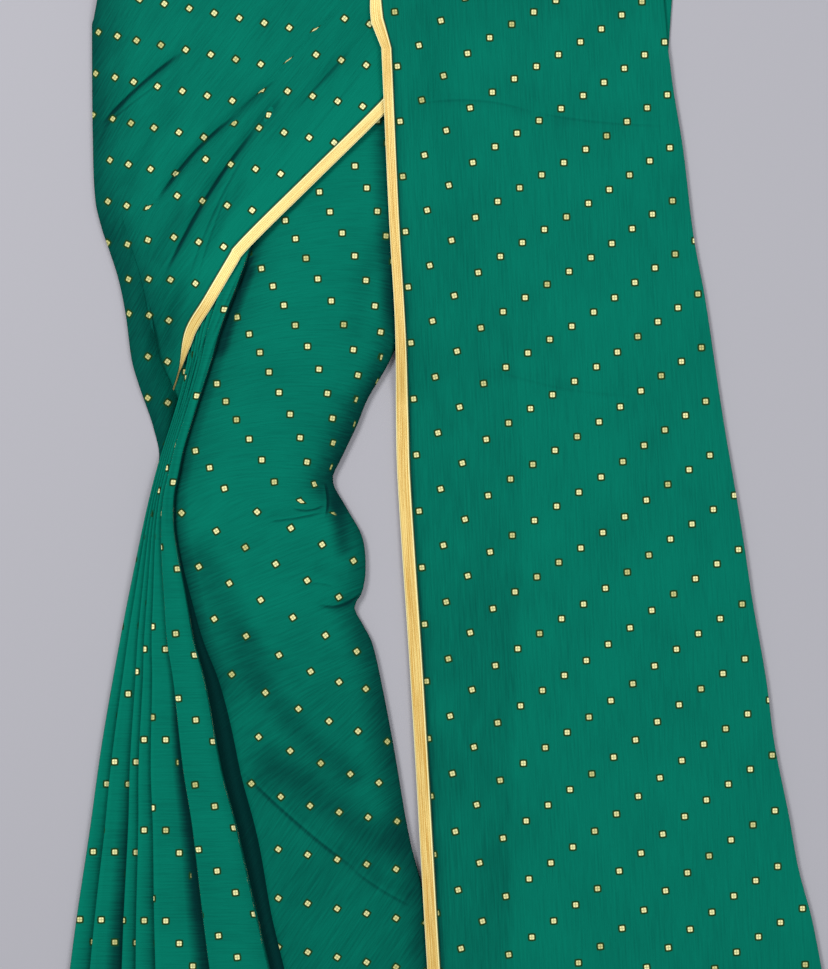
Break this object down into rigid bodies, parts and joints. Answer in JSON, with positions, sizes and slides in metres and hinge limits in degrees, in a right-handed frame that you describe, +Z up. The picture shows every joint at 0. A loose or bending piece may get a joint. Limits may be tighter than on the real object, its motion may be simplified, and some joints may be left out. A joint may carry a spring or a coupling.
{
  "type": "printed chiffon saree laid flat",
  "caption": "Printed chiffon saree with a lace border, laid out flat as it is worn: hip wrap, pleats, leg panel and end panel.",
  "frame": {"origin": "middle of the underside of the part's box, on the surface that the saree lies on", "axes": "+Y runs from the hem to the shoulder end, the longest way; +X runs from the pleats to the end panel; +Z points up out of the surface, the thinnest way"},
  "size_m": [0.8772, 1.49, 0.027],
  "materials": {
    "chiffon": "printed crinkled chiffon, soft sheen",
    "lace_tape": "woven metallic thread, satin"
  },
  "bodies": {
    "root": {"saree_cloth": "chiffon", "border_tape": "lace_tape"}
  },
  "joints": []
}
